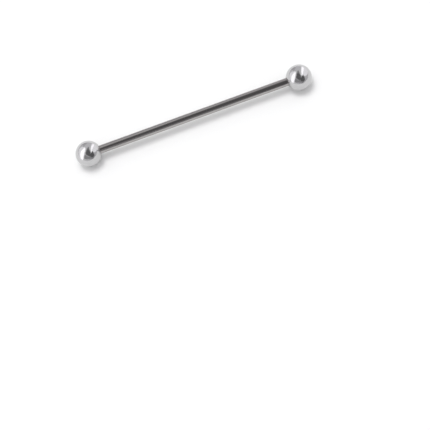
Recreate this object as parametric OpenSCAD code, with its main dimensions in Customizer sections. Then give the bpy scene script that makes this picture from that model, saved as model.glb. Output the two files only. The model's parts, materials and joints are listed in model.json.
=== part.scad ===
// A straight industrial barbell, a piece of body jewellery.
// A round steel bar carries a screw thread on each end, and a drilled steel ball screws onto each thread.
// The bar lies along X with its middle at the origin. Sizes are in millimetres.

/* [Bar] */
// Diameter of the plain bar, 14 gauge
bar_d = 1.6; // [1.2:0.1:2]
// Length of bar that shows between the two balls
wear_len = 38; // [28:1:45]

/* [Thread] */
// Distance from one turn of the thread to the next
pitch = 0.35; // [0.25:0.05:0.4]
// Length of the threaded stud past the plain bar
stud_len = 3; // [2:0.1:3.2]
// How much narrower the thread is over its crests than the plain bar
crest_drop = 0.04; // [0.02:0.01:0.08]
// Chamfer on the tip of each stud
tip_chamfer = 0.25; // [0.1:0.05:0.3]

/* [Balls] */
// Diameter of each ball
ball_d = 5; // [5:0.5:8]
// Gap all round between the thread's crests and the wall of the ball's hole
thread_gap = 0.04; // [0.03:0.01:0.08]
// Room in the hole past the tip of the stud
hole_spare = 0.3; // [0.2:0.1:0.4]
// Width of the countersink round the hole's mouth
countersink_w = 0.15; // [0.12:0.01:0.2]
// Width of the flat ring that is left round the countersink
flat_w = 0.08; // [0.04:0.01:0.2]

/* [Hidden] */
$fn = 64;

// Length of the plain bar that each ball's countersink covers
BAR_IN_MOUTH = 0.1;
// Full angle of the drill's point
DRILL_POINT = 118;
// Sides of the thread's outline, seen along the bar
THREAD_SIDES = 20;
// Depth of a 60 degree thread with a flat crest and root, as a share of its pitch
THREAD_DEPTH = sqrt(3) / 2 * 17 / 24;
// Length of thread hidden inside the plain bar's end, as a share of its pitch
BURIED = 1.2;
// Length by which a cutting shape runs past the face that it cuts
PAST = 0.5;

bar_end = wear_len / 2 + BAR_IN_MOUTH;
crest_r = (bar_d - crest_drop) / 2;
root_r = bar_d / 2 - THREAD_DEPTH * pitch;
hole_r = crest_r + thread_gap;
hole_depth = BAR_IN_MOUTH + stud_len + hole_spare;
flat_r = hole_r + countersink_w + flat_w;
flat_x = sqrt(pow(ball_d / 2, 2) - pow(flat_r, 2));
ball_x = wear_len / 2 + flat_x;

// The corners of the thread over one pitch: [share of the pitch, radius]
CORNERS = [
    [0, crest_r],
    [1 / 8, crest_r],
    [7 / 16, root_r],
    [11 / 16, root_r],
];

// Corner j of the thread on side i. Each side starts a little further along X than the last, so that the
// corners line up along the helix.
function thread_point(i, j) =
    let (
        corner = CORNERS[j % len(CORNERS)],
        turn = i / THREAD_SIDES,
        x = pitch * (floor(j / len(CORNERS)) + corner[0] + turn)
    )
    [x, corner[1] * cos(360 * turn), corner[1] * sin(360 * turn)];

// A right-hand thread along X from x = 0. Its first and last turns end in ramps, for other shapes to
// cover or cut off.
module thread(turns) {
    corners = len(CORNERS);
    rows = turns * corners;
    last_side = THREAD_SIDES - 1;
    points = [for (i = [0:last_side]) for (j = [0:rows]) thread_point(i, j)];
    low = len(points);
    high = low + 1;
    // Past the last side the thread carries on with the first side, one pitch further on
    index = function (i, j) i <= last_side ? i * (rows + 1) + j : j + corners;
    flanks = [
        for (i = [0:last_side])
            for (j = [0:(i < last_side ? rows : rows - corners) - 1])
                each [
                    [index(i, j), index(i, j + 1), index(i + 1, j + 1)],
                    [index(i, j), index(i + 1, j + 1), index(i + 1, j)],
                ]
    ];
    low_rim = concat(
        [for (i = [0:last_side]) index(i, 0)],
        [for (j = [corners:-1:1]) index(0, j)]
    );
    high_rim = concat(
        [for (i = [0:last_side]) index(i, rows)],
        [for (j = [rows - 1:-1:rows - corners]) index(last_side, j)]
    );
    caps = [
        for (k = [0:len(low_rim) - 1])
            let (next = (k + 1) % len(low_rim))
                each [
                    [low, low_rim[k], low_rim[next]],
                    [high, high_rim[next], high_rim[k]],
                ]
    ];
    cap_centres = [[pitch / 2, 0, 0], [pitch * (turns + 1 / 2), 0, 0]];
    polyhedron(concat(points, cap_centres), concat(flanks, caps));
}

// The shape that each stud is turned to, along X from the end of the plain bar: wider than the thread,
// and then a 45 degree cone down to the tip
module turned_outline() {
    wide = bar_d;
    cone_start = stud_len - (wide - (crest_r - tip_chamfer));
    rotate([90, 0, 90])
        rotate_extrude()
            polygon([
                [0, -PAST],
                [wide, -PAST],
                [wide, cone_start],
                [crest_r - tip_chamfer, stud_len],
                [0, stud_len],
            ]);
}

// One threaded stud along X, whose first turns lie inside the plain bar, which ends at x = 0
module stud() {
    buried = BURIED * pitch;
    intersection() {
        translate([-buried, 0, 0])
            thread(ceil((stud_len + buried) / pitch));
        turned_outline();
    }
}

module shaft() {
    color("silver") {
        rotate([0, 90, 0])
            cylinder(h = 2 * bar_end, d = bar_d, center = true);
        for (side = [0, 180])
            rotate([0, 0, side])
                translate([bar_end, 0, 0])
                    stud();
    }
}

// The countersink, straight hole and drill point that are cut into a ball, along X from its flat
module hole() {
    rotate([90, 0, 90])
        rotate_extrude()
            polygon([
                [0, -PAST],
                [hole_r + countersink_w + PAST, -PAST],
                [hole_r, countersink_w],
                [hole_r, hole_depth],
                [0, hole_depth + hole_r / tan(DRILL_POINT / 2)],
            ]);
}

// A ball with its centre at the origin and its hole opening towards -X
module ball() {
    difference() {
        sphere(d = ball_d);
        translate([-flat_x - ball_d, -ball_d / 2, -ball_d / 2])
            cube(ball_d);
        translate([-flat_x, 0, 0])
            hole();
    }
}

module ball_right() {
    color("silver")
        translate([ball_x, 0, 0])
            ball();
}

module ball_left() {
    color("silver")
        rotate([0, 0, 180])
            translate([ball_x, 0, 0])
                ball();
}

shaft();
ball_left();
ball_right();
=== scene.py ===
import json
import math
from collections import Counter

import bpy
from mathutils import Matrix, Vector


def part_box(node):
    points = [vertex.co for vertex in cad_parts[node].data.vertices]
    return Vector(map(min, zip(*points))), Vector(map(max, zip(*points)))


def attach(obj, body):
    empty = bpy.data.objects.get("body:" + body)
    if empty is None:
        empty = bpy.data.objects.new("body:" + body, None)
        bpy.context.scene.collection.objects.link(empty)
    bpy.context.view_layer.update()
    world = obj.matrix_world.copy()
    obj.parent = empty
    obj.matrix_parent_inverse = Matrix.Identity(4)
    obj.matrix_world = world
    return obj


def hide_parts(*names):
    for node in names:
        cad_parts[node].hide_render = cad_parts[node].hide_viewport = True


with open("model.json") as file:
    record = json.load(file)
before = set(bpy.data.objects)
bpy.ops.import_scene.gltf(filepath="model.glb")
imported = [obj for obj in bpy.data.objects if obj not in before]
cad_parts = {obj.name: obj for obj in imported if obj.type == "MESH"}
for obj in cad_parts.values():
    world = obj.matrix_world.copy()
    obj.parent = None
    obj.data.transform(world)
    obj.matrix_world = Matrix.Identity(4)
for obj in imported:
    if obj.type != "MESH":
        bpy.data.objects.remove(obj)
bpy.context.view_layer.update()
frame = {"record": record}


# The bar
# A straight 14 gauge bar of surgical steel, ground round and polished along its length. A right-hand screw
# thread is cut on each end, from a small shoulder to a chamfered tip.
MM = 0.001
bar_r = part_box("shaft")[1].z
tip_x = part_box("shaft")[1].x
shoulder_x = frame["record"]["mounts"][0]["dims"]["length_mm"] / 2 * MM
pitch = 0.35 * MM
# How deep a metric screw thread is cut, as a share of its pitch
depth_share = 0.614
root_r = bar_r - depth_share * pitch
# The crests stand this much below the plain bar
crest_drop = 0.02 * MM
crest_r = bar_r - crest_drop
tip_chamfer = 0.25 * MM
tip_r = crest_r - tip_chamfer
shoulder_bevel = 0.015 * MM
bar_sides = 96
turn_steps = 40
# Length of stud hidden inside the plain bar, and length by which a cutting shape runs past its cut
buried = 0.4 * MM
past = 0.2 * MM
# Size under which two points count as one, far below any real feature
same_place = 0.0002 * MM


def select_only(piece):
    """Makes a piece the active one, with nothing else selected."""
    bpy.ops.object.select_all(action="DESELECT")
    bpy.context.view_layer.objects.active = piece
    piece.select_set(True)


def fresh(name, add, **size):
    """Adds a primitive by itself, with its place in its mesh."""
    bpy.ops.object.select_all(action="DESELECT")
    add(**size)
    bpy.ops.object.transform_apply()
    piece = bpy.context.object
    piece.name = piece.data.name = name
    return piece


def rod(name, start_x, end_x, radius):
    """A plain round rod along X."""
    return fresh(
        name,
        bpy.ops.mesh.primitive_cylinder_add,
        vertices=bar_sides,
        radius=radius,
        depth=end_x - start_x,
        location=((start_x + end_x) / 2, 0, 0),
        rotation=(0, math.pi / 2, 0),
    )


def pick(piece, kind, wanted):
    """Selects the faces or edges of a piece whose middle is wanted, and leaves it in edit mode."""
    bpy.ops.object.mode_set(mode="EDIT")
    bpy.ops.mesh.select_all(action="DESELECT")
    bpy.ops.mesh.select_mode(type=kind)
    bpy.ops.object.mode_set(mode="OBJECT")
    mesh = piece.data
    for part in {"FACE": mesh.polygons, "EDGE": mesh.edges}[kind]:
        middle = sum((mesh.vertices[i].co for i in part.vertices), Vector()) / len(part.vertices)
        part.select = wanted(middle)
    bpy.ops.object.mode_set(mode="EDIT")


def bevel_rim(piece, x, radius, width, segments):
    """Bevels the round edge of a piece at that place along X and at least that far from the X axis."""
    pick(piece, "EDGE", lambda p: abs(p.x - x) < same_place and Vector((p.y, p.z)).length > radius)
    bpy.ops.mesh.bevel(offset=width, segments=segments, affect="EDGES")
    bpy.ops.object.mode_set(mode="OBJECT")


def chain(name, points):
    """A line of edges through the points, drawn one extrusion after another."""
    # Its first point is a small plane, merged into one point
    line = fresh(name, bpy.ops.mesh.primitive_plane_add, size=MM, location=points[0])
    bpy.ops.object.mode_set(mode="EDIT")
    bpy.ops.mesh.select_mode(type="VERT")
    bpy.ops.mesh.merge(type="CENTER")
    for here, there in zip(points, points[1:]):
        bpy.ops.mesh.extrude_region_move(TRANSFORM_OT_translate={"value": there - here})
    bpy.ops.object.mode_set(mode="OBJECT")
    return line


def threaded_rod(name, corners, start_x, end_x):
    """A right-hand screw along X between two flat ends. A corner is a share of the pitch and a radius."""
    # It is wound from ahead of its first end, so that both ends are cut through whole turns
    lead_in = 1.5 * pitch
    first = start_x - lead_in
    profile = corners + [(1, corners[0][1])]
    piece = chain(name, [Vector((first + share * pitch, 0, r)) for share, r in profile])
    bpy.ops.object.modifier_add(type="SCREW")
    screw = piece.modifiers[-1]
    screw.axis = "X"
    screw.screw_offset = pitch
    screw.iterations = math.ceil((end_x - first) / pitch) + 1
    screw.steps = screw.render_steps = turn_steps
    bpy.ops.object.modifier_apply(modifier=screw.name)
    bpy.ops.object.mode_set(mode="EDIT")
    bpy.ops.mesh.select_all(action="SELECT")
    bpy.ops.mesh.remove_doubles(threshold=same_place)
    for x, keep in ((start_x, "clear_inner"), (end_x, "clear_outer")):
        bpy.ops.mesh.select_all(action="SELECT")
        bpy.ops.mesh.bisect(
            plane_co=(x, 0, 0), plane_no=(1, 0, 0), use_fill=True, threshold=same_place, **{keep: True}
        )
    bpy.ops.mesh.select_all(action="SELECT")
    bpy.ops.mesh.normals_make_consistent(inside=False)
    bpy.ops.object.mode_set(mode="OBJECT")
    return piece


def boolean(piece, operation, tool):
    """Joins, cuts or trims a piece with a tool, which is then thrown away."""
    select_only(piece)
    bpy.ops.object.modifier_add(type="BOOLEAN")
    modifier = piece.modifiers[-1]
    modifier.operation = operation
    modifier.solver = "EXACT"
    modifier.object = tool
    bpy.ops.object.modifier_apply(modifier=modifier.name)
    bpy.data.objects.remove(tool)


def turned_copy(piece, name):
    """A copy with its own mesh, turned end for end about Z."""
    select_only(piece)
    bpy.ops.object.duplicate()
    copy = bpy.context.object
    copy.name = copy.data.name = name
    copy.rotation_euler = (0, 0, math.pi)
    bpy.ops.object.transform_apply()
    return copy


def finish_mesh(piece, angle):
    """Cleans up after cutting, turns the faces outwards, and smooths the edges under that many degrees."""
    select_only(piece)
    bpy.ops.object.mode_set(mode="EDIT")
    bpy.ops.mesh.select_mode(type="VERT")
    bpy.ops.mesh.select_all(action="SELECT")
    bpy.ops.mesh.remove_doubles(threshold=same_place)
    bpy.ops.mesh.select_all(action="DESELECT")
    bpy.ops.object.mode_set(mode="OBJECT")
    # A cut leaves needless points along straight edges, where only two edges meet
    edges_at = Counter(end for edge in piece.data.edges for end in edge.vertices)
    for point in piece.data.vertices:
        point.select = edges_at[point.index] == 2
    bpy.ops.object.mode_set(mode="EDIT")
    bpy.ops.mesh.dissolve_verts()
    bpy.ops.mesh.select_all(action="SELECT")
    bpy.ops.mesh.normals_make_consistent(inside=False)
    bpy.ops.object.mode_set(mode="OBJECT")
    bpy.ops.object.shade_smooth_by_angle(angle=math.radians(angle))


# Over one pitch: the crest, a flank, the root and the other flank
stud_corners = [(0, crest_r), (1 / 8, crest_r), (7 / 16, root_r), (11 / 16, root_r)]
stud_right = threaded_rod("stud_right", stud_corners, shoulder_x - buried, tip_x + past)
blank = rod("blank", shoulder_x - buried - past, tip_x, bar_r)
bevel_rim(blank, tip_x, bar_r / 2, bar_r - tip_r, segments=1)
boolean(stud_right, "INTERSECT", blank)
stud_left = turned_copy(stud_right, "stud_left")
threaded_bar = rod("threaded_bar", -shoulder_x, shoulder_x, bar_r)
for end_x in (-shoulder_x, shoulder_x):
    bevel_rim(threaded_bar, end_x, bar_r / 2, shoulder_bevel, segments=1)
for stud in (stud_right, stud_left):
    boolean(threaded_bar, "UNION", stud)
finish_mesh(threaded_bar, angle=30)


def add_node(tree, kind, feeds=(), **settings):
    """Adds a node, sets its own fields, and gives its sockets their values or links."""
    made = tree.nodes.new(kind)
    for field, value in settings.items():
        setattr(made, field, value)
    for socket, value in dict(feeds).items():
        if isinstance(value, bpy.types.NodeSocket):
            tree.links.new(value, made.inputs[socket])
        else:
            made.inputs[socket].default_value = value
    return made


def math_node(tree, operation, *values):
    """The result of one sum on numbers or sockets."""
    return add_node(tree, "ShaderNodeMath", dict(enumerate(values)), operation=operation).outputs[0]


def remap(tree, value, low, high):
    """Stretches the values between low and high to the whole of 0 to 1."""
    feeds = {"Value": value, "From Min": low, "From Max": high}
    return add_node(tree, "ShaderNodeMapRange", feeds).outputs[0]


def mix(tree, kind, share, first, second):
    """Goes from the first number or colour to the second by that share."""
    # A Mix node has its own two inputs and its own result for numbers, and others for colours
    sockets, result = {"FLOAT": ((2, 3), 0), "RGBA": ((6, 7), 2)}[kind]
    feeds = {0: share, sockets[0]: first, sockets[1]: second}
    return add_node(tree, "ShaderNodeMix", feeds, data_type=kind).outputs[result]


def new_group(name, inputs, outputs):
    """A shader node group with named sockets, and its input and output nodes."""
    group = bpy.data.node_groups.new(name, "ShaderNodeTree")
    for in_out, sockets in (("INPUT", inputs), ("OUTPUT", outputs)):
        for socket, kind in sockets.items():
            group.interface.new_socket(name=socket, in_out=in_out, socket_type="NodeSocket" + kind)
    return group, group.nodes.new("NodeGroupInput").outputs, group.nodes.new("NodeGroupOutput").inputs


# Hairlines that polishing leaves: a noise drawn out into thin scratches, by how much finer it is across
# them than along them
hairlines, given, result = new_group(
    "hairlines",
    {"Vector": "Vector", "Turn": "Vector", "Fineness": "Vector", "Strength": "Float"},
    {"Height": "Float"},
)
drawn = add_node(
    hairlines, "ShaderNodeMapping",
    {"Vector": given["Vector"], "Rotation": given["Turn"], "Scale": given["Fineness"]},
)
streaks = add_node(hairlines, "ShaderNodeTexNoise", {"Vector": drawn.outputs[0], "Scale": 1, "Detail": 3})
scratch = remap(hairlines, streaks.outputs["Fac"], low=0.56, high=0.7)
hairlines.links.new(math_node(hairlines, "MULTIPLY", scratch, given["Strength"]), result["Height"])

# The faint film that fingers leave, which dims the steel's colour and dulls its polish
film_dimming = 0.04
handling, given, result = new_group(
    "handling",
    {"Vector": "Vector", "Color": "Color", "Roughness": "Float", "Dulling": "Float"},
    {"Color": "Color", "Roughness": "Float"},
)
smear = add_node(
    handling, "ShaderNodeTexNoise", {"Vector": given["Vector"], "Scale": 420, "Detail": 4, "Distortion": 1.2}
)
film = remap(handling, smear.outputs["Fac"], low=0.42, high=0.68)
dimmed = add_node(
    handling, "ShaderNodeHueSaturation",
    {"Color": given["Color"], "Value": math_node(handling, "MULTIPLY_ADD", film, -film_dimming, 1)},
)
handling.links.new(dimmed.outputs[0], result["Color"])
dulled = math_node(handling, "MULTIPLY_ADD", film, given["Dulling"], given["Roughness"])
handling.links.new(dulled, result["Roughness"])

# A cut surface, with the fine rings that a die, tap or drill leaves round X
ring_fineness = (60000, 900, 900)
ring_dulling = 0.15
tool_marks, given, result = new_group(
    "tool_marks", {"Vector": "Vector", "Roughness": "Float"}, {"Roughness": "Float", "Height": "Float"}
)
squeezed = add_node(tool_marks, "ShaderNodeMapping", {"Vector": given["Vector"], "Scale": ring_fineness})
rings = add_node(tool_marks, "ShaderNodeTexNoise", {"Vector": squeezed.outputs[0], "Scale": 1, "Detail": 2})
uneven = math_node(tool_marks, "MULTIPLY_ADD", rings.outputs["Fac"], ring_dulling, given["Roughness"])
tool_marks.links.new(uneven, result["Roughness"])
tool_marks.links.new(rings.outputs["Fac"], result["Height"])


def place_group(tree, group, feeds):
    """Places a node group in a material, with that material's own values, and returns its outputs."""
    return add_node(tree, "ShaderNodeGroup", feeds, node_tree=group).outputs


# What the film and the scratches add to the polish's roughness, how deep a scratch is beside the rings of
# a cut surface, and how high those rings are
film_dulling = 0.07
scratch_dulling = 0.14
scratch_depth = 0.5
ring_height = 0.001 * MM
cut_roughness = 0.2


def steel(name, color, cut_color, roughness, scratches, is_cut):
    """Polished steel with scratches and a film of handling, and a duller cut surface where is_cut is 1."""
    made = bpy.data.materials.new(name)
    made.use_nodes = True
    tree = made.node_tree
    shader = tree.nodes["Principled BSDF"]
    place = add_node(tree, "ShaderNodeTexCoord").outputs["Object"]
    lines = 0
    for lay in scratches:
        height = place_group(tree, hairlines, {"Vector": place, **lay})["Height"]
        lines = math_node(tree, "MAXIMUM", lines, height)
    feeds = {"Vector": place, "Color": (*color, 1), "Roughness": roughness, "Dulling": film_dulling}
    polished = place_group(tree, handling, feeds)
    scratched = math_node(tree, "MULTIPLY_ADD", lines, scratch_dulling, polished["Roughness"])
    cut = place_group(tree, tool_marks, {"Vector": place, "Roughness": cut_roughness})
    mask = is_cut(tree, place)
    tint = mix(tree, "RGBA", mask, polished["Color"], (*cut_color, 1))
    rough = mix(tree, "FLOAT", mask, scratched, cut["Roughness"])
    relief = mix(tree, "FLOAT", mask, math_node(tree, "MULTIPLY", lines, -scratch_depth), cut["Height"])
    bump = add_node(tree, "ShaderNodeBump", {"Strength": 1, "Distance": ring_height, "Height": relief})
    shader.inputs["Metallic"].default_value = 1
    tree.links.new(tint, shader.inputs["Base Color"])
    tree.links.new(rough, shader.inputs["Roughness"])
    tree.links.new(bump.outputs[0], shader.inputs["Normal"])
    return made


def past_shoulder(tree, place):
    """1 on the threads, and 0 on the plain bar."""
    x = add_node(tree, "ShaderNodeSeparateXYZ", {0: place}).outputs[0]
    return math_node(tree, "GREATER_THAN", math_node(tree, "ABSOLUTE", x), shoulder_x + same_place)


# Fine lines run along the bar, and fainter ones round it
along_bar = {"Turn": (0, 0, 0), "Fineness": (250, 30000, 30000), "Strength": 1}
round_bar = {"Turn": (0, 0, 0), "Fineness": (45000, 300, 300), "Strength": 0.6}
# The bar's steel is given a darker colour than the same steel of the balls: painted shade, standing in for
# the darker surroundings that the bar mirrors
bar_steel = steel(
    "bar_steel",
    color=(0.38, 0.364, 0.358),
    cut_color=(0.4, 0.39, 0.384),
    roughness=0.06,
    scratches=[along_bar, round_bar],
    is_cut=past_shoulder,
)
threaded_bar.data.materials.append(bar_steel)
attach(threaded_bar, "bar")
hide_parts("shaft")


# The two balls
# A polished steel ball with a small flat, a countersunk mouth and a blind tapped hole, which screws onto
# a threaded end of the bar. The left ball is the same ball, turned end for end.
ball_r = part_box("ball_right")[1].z
flat_x, ball_end_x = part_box("ball_right")[0].x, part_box("ball_right")[1].x
ball_x = ball_end_x - ball_r
# The hole clears the crests of the bar's thread, and the tap cuts its groove outside the hole
thread_gap = 0.04 * MM
groove_depth = 0.1 * MM
hole_r = crest_r + thread_gap
groove_r = hole_r + groove_depth
countersink = 0.15 * MM
mouth_r = hole_r + countersink
mouth_bevel = 0.03 * MM
hole_depth = 3.4 * MM
tapped_depth = 2.9 * MM
# The hole ends in the cone that the tip of a twist drill leaves, of this many degrees
drill_angle = 118
drill_point = hole_r / math.tan(math.radians(drill_angle / 2))
hole_end_x = flat_x + hole_depth + drill_point

ball_right = fresh(
    "polished_ball_right",
    bpy.ops.mesh.primitive_uv_sphere_add,
    segments=96,
    ring_count=72,
    radius=ball_r,
    location=(ball_x, 0, 0),
    rotation=(0, math.pi / 2, 0),
)
bpy.ops.object.mode_set(mode="EDIT")
bpy.ops.mesh.select_all(action="SELECT")
bpy.ops.mesh.bisect(
    plane_co=(flat_x, 0, 0), plane_no=(1, 0, 0), clear_inner=True, use_fill=True, threshold=same_place
)
bpy.ops.object.mode_set(mode="OBJECT")
bevel_rim(ball_right, flat_x, mouth_r, mouth_bevel, segments=3)

drill = fresh(
    "drill",
    bpy.ops.mesh.primitive_cone_add,
    vertices=bar_sides,
    radius1=mouth_r + past,
    radius2=hole_r,
    depth=countersink + past,
    location=(flat_x + (countersink - past) / 2, 0, 0),
    rotation=(0, math.pi / 2, 0),
)
pick(drill, "FACE", lambda p: p.x > flat_x + countersink - same_place)
bpy.ops.mesh.extrude_region_move(TRANSFORM_OT_translate={"value": (hole_depth - countersink, 0, 0)})
bpy.ops.mesh.extrude_region_move(TRANSFORM_OT_translate={"value": (drill_point, 0, 0)})
bpy.ops.mesh.merge(type="CENTER")
bpy.ops.object.mode_set(mode="OBJECT")

# Over one pitch: half a land inside the hole, a flank, the groove's bottom, the other flank and half a land
inside_r = hole_r - past
groove_corners = [(0, inside_r), (1 / 8, inside_r), (7 / 16, groove_r), (9 / 16, groove_r), (7 / 8, inside_r)]
tap = threaded_rod("tap", groove_corners, flat_x - past, flat_x + tapped_depth)
for cutter in (drill, tap):
    boolean(ball_right, "DIFFERENCE", cutter)
finish_mesh(ball_right, angle=15)
ball_left = turned_copy(ball_right, "polished_ball_left")


def inside_hole(tree, place):
    """1 on the walls of the hole, and 0 on the outside of the ball."""
    x, y, z = add_node(tree, "ShaderNodeSeparateXYZ", {0: place}).outputs
    squares = math_node(tree, "ADD", math_node(tree, "POWER", y, 2), math_node(tree, "POWER", z, 2))
    near_axis = math_node(tree, "LESS_THAN", math_node(tree, "SQRT", squares), mouth_r)
    short_of_end = math_node(tree, "LESS_THAN", math_node(tree, "ABSOLUTE", x), hole_end_x + past)
    return math_node(tree, "MULTIPLY", near_axis, short_of_end)


# Tumbling leaves faint lines every way
tumbled = [
    {"Turn": (0.4, 0.2, 0), "Fineness": (300, 15000, 15000), "Strength": 1},
    {"Turn": (1.3, 0.5, 0.9), "Fineness": (14000, 280, 14000), "Strength": 0.8},
    {"Turn": (0.2, 1.1, 2.1), "Fineness": (16000, 16000, 320), "Strength": 0.7},
]
ball_steel = steel(
    "ball_steel",
    color=(0.56, 0.558, 0.562),
    cut_color=(0.42, 0.418, 0.413),
    roughness=0.05,
    scratches=tumbled,
    is_cut=inside_hole,
)
for ball, body, node in ((ball_left, "left_ball", "ball_left"), (ball_right, "right_ball", "ball_right")):
    ball.data.materials.append(ball_steel)
    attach(ball, body)
    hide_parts(node)


# The floor
# A wide sheet of pale matt paper, laid flat on a table. Both balls rest on it.
floor = fresh("floor", bpy.ops.mesh.primitive_plane_add, size=3, location=(0, 0, -ball_r))
paper = bpy.data.materials.new("pale_paper")
paper.use_nodes = True
paper_shader = paper.node_tree.nodes["Principled BSDF"]
paper_shader.inputs["Base Color"].default_value = (0.9, 0.9, 0.9, 1)
paper_shader.inputs["Roughness"].default_value = 0.8
paper_shader.inputs["Specular IOR Level"].default_value = 0.1
floor.data.materials.append(paper)


# The camera
# A long lens square on to the bar, from well above the floor. It is rolled so that the bar rises to the
# right, and set to one side so that the barbell lies where the picture has it.
image_px = 430
# Where the middles of the balls are in the picture, and the size of one pixel at the barbell
left_ball_px = Vector((88.67, 153.73))
right_ball_px = Vector((298.85, 77.58))
span_px = right_ball_px - left_ball_px
middle_px = (left_ball_px + right_ball_px) / 2
px = 2 * ball_x / span_px.length
roll = math.atan2(-span_px.y, span_px.x)
elevation = math.radians(65)
lens_mm, sensor_mm = 100, 36
distance = lens_mm / sensor_mm * image_px * px
towards_camera = Vector((0, -math.cos(elevation), math.sin(elevation)))
level_up = Vector((0, math.sin(elevation), math.cos(elevation)))
along = Vector((1, 0, 0))
right = along * math.cos(roll) - level_up * math.sin(roll)
up = along * math.sin(roll) + level_up * math.cos(roll)
aside = right * (image_px / 2 - middle_px.x) * px - up * (image_px / 2 - middle_px.y) * px
lens = bpy.data.cameras.new("camera")
lens.lens, lens.sensor_width = lens_mm, sensor_mm
lens.clip_start, lens.clip_end = 0.01, 10
camera = bpy.data.objects.new("camera", lens)
turned = Matrix((right, up, towards_camera)).transposed().to_4x4()
camera.matrix_world = Matrix.Translation(towards_camera * distance + aside) @ turned
bpy.context.collection.objects.link(camera)
bpy.context.scene.camera = camera


# The studio
# Soft white light from all round, a softbox overhead, and bright and dark cards for the polished steel to
# mirror. Each card is placed by where it shows on a ball: u to the right of the ball's middle and v above
# it, in ball radii.
def mirrored(u, v):
    """The way that light leaves a ball at that spot, seen from the camera."""
    normal = right * u + up * v + towards_camera * math.sqrt(1 - u * u - v * v)
    return 2 * normal.dot(towards_camera) * normal - towards_camera


def rounded(corners):
    """The outline with its corners cut off three times over. A corner that is given twice stays sharper."""
    for _ in range(3):
        sides = zip(corners, corners[1:] + corners[:1])
        corners = [here.lerp(there, share) for here, there in sides for share in (0.25, 0.75)]
    return corners


def card(name, spots, reach, brightness):
    """A domed card with a rounded outline, all at that reach. Only reflections show it."""
    outline = rounded([Vector(spot) for spot in spots])
    sheet = chain(name, [mirrored(*spot) * reach for spot in outline])
    bpy.ops.object.mode_set(mode="EDIT")
    bpy.ops.mesh.select_all(action="SELECT")
    bpy.ops.mesh.edge_face_add()
    bpy.ops.mesh.quads_convert_to_tris()
    bpy.ops.mesh.subdivide(number_cuts=7)
    bpy.ops.object.mode_set(mode="OBJECT")
    bpy.ops.object.modifier_add(type="CAST")
    dome = sheet.modifiers[-1]
    dome.factor, dome.size, dome.use_radius_as_size = 1, reach, False
    bpy.ops.object.modifier_apply(modifier=dome.name)
    sheet.visible_camera = sheet.visible_diffuse = sheet.visible_shadow = False
    glow = bpy.data.materials.new(name)
    glow.use_nodes = True
    glow.node_tree.nodes.clear()
    lit = {"Color": (1, 0.99, 1.02, 1), "Strength": brightness}
    light = add_node(glow.node_tree, "ShaderNodeEmission", lit)
    add_node(glow.node_tree, "ShaderNodeOutputMaterial", {"Surface": light.outputs[0]})
    sheet.data.materials.append(glow)


# The dark cards stand round the camera, and the nearer ones hide the ones behind
card(
    "dark_flag",
    [(0.3, 0.19), (0.3, 0.19), (0.17, -0.04), (0.12, -0.26), (0.27, -0.34), (0.49, -0.22), (0.43, 0)],
    reach=0.24,
    brightness=0.14,
)
card(
    "dark_screen",
    [(-0.11, 0.29), (-0.22, 0.02), (-0.22, -0.08), (0.14, -0.29), (0.2, 0), (0.06, 0.29)],
    reach=0.25,
    brightness=0.16,
)
card(
    "screen_top",
    [(-0.03, 0.53), (-0.03, 0.53), (-0.18, 0.24), (-0.18, 0.1), (0.07, 0.1), (0.09, 0.24)],
    reach=0.26,
    brightness=0.3,
)
card(
    "pale_spot",
    [(-0.24, -0.14), (-0.06, -0.27), (0.12, -0.24), (-0.04, -0.06)],
    reach=0.28,
    brightness=0.5,
)
card(
    "grey_table",
    [
        (-0.27, -0.08), (0.3, -0.08), (0.45, -0.28), (0.36, -0.46), (0.05, -0.42), (-0.24, -0.44),
        (-0.36, -0.33),
    ],
    reach=0.3,
    brightness=0.36,
)

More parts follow.
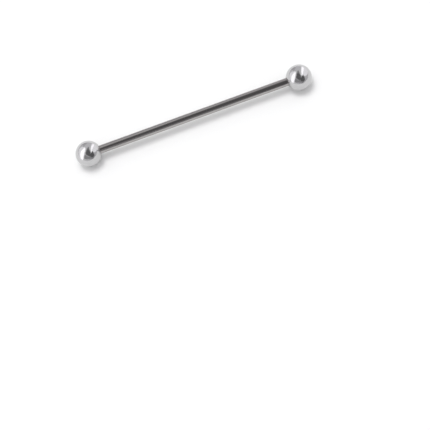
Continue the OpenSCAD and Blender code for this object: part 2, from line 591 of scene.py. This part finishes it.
# The bright ones are a window on the left and one above, each with a dimmer wall behind it
card(
    "left_window",
    [
        (-0.22, 0.47), (-0.46, 0.28), (-0.6, 0.04), (-0.6, -0.34), (-0.46, -0.54), (-0.38, -0.32),
        (-0.31, 0), (-0.25, 0.24),
    ],
    reach=0.4,
    brightness=1.85,
)
card(
    "left_wall",
    [
        (-0.28, 0.5), (-0.64, 0.42), (-0.74, 0.15), (-0.72, -0.1), (-0.62, -0.4), (-0.36, -0.5),
        (-0.28, 0), (-0.2, 0.3),
    ],
    reach=0.44,
    brightness=1.15,
)
card(
    "top_window",
    [(0.26, 0.78), (0.18, 0.5), (0.2, 0.2), (0.23, 0.06), (0.23, 0.06), (0.3, 0.32), (0.4, 0.7)],
    reach=0.4,
    brightness=1.75,
)
card(
    "top_wall",
    [(0.17, 0.82), (0.15, 0.2), (0.25, 0.06), (0.56, 0.1), (0.66, 0.4), (0.54, 0.66), (0.38, 0.82)],
    reach=0.44,
    brightness=1.2,
)

# Greyer walls close the top, the front and the right
card(
    "grey_patch",
    [(-0.62, 0.66), (-0.4, 0.82), (-0.12, 0.8), (-0.3, 0.6), (-0.36, 0.4), (-0.44, 0.6)],
    reach=0.45,
    brightness=0.58,
)
card(
    "grey_wall",
    [(-0.66, 0.5), (-0.45, 0.82), (0.2, 0.86), (0.16, 0.4), (-0.1, 0.4), (-0.26, 0.44), (-0.5, 0.34)],
    reach=0.48,
    brightness=0.76,
)
card(
    "front_wall",
    [
        (-0.34, -0.36), (-0.1, -0.54), (0.2, -0.54), (0.44, -0.4), (0.64, -0.1), (0.64, 0.32),
        (0.36, 0.14), (0.3, -0.3),
    ],
    reach=0.48,
    brightness=0.64,
)

softbox_place = Vector((-0.03, 0.06, 0.5))
# What the softbox sheds on the middle of the floor, in watts for each square metre
light_on_floor = 1.3
softbox = bpy.data.lights.new("softbox", "AREA")
softbox.size = 0.22
softbox.energy = light_on_floor * math.pi * softbox_place.length**3 / softbox_place.z
softbox_frame = bpy.data.objects.new("softbox", softbox)
softbox_frame.location = softbox_place
softbox_frame.rotation_euler = softbox_place.to_track_quat("Z", "Y").to_euler()
softbox_frame.visible_camera = softbox_frame.visible_glossy = False
bpy.context.collection.objects.link(softbox_frame)

studio = bpy.data.worlds.new("studio")
studio.use_nodes = True
studio.node_tree.nodes["Background"].inputs["Color"].default_value = (0.78, 0.78, 0.785, 1)
bpy.context.scene.world = studio
bpy.context.scene.view_settings.view_transform = "Standard"
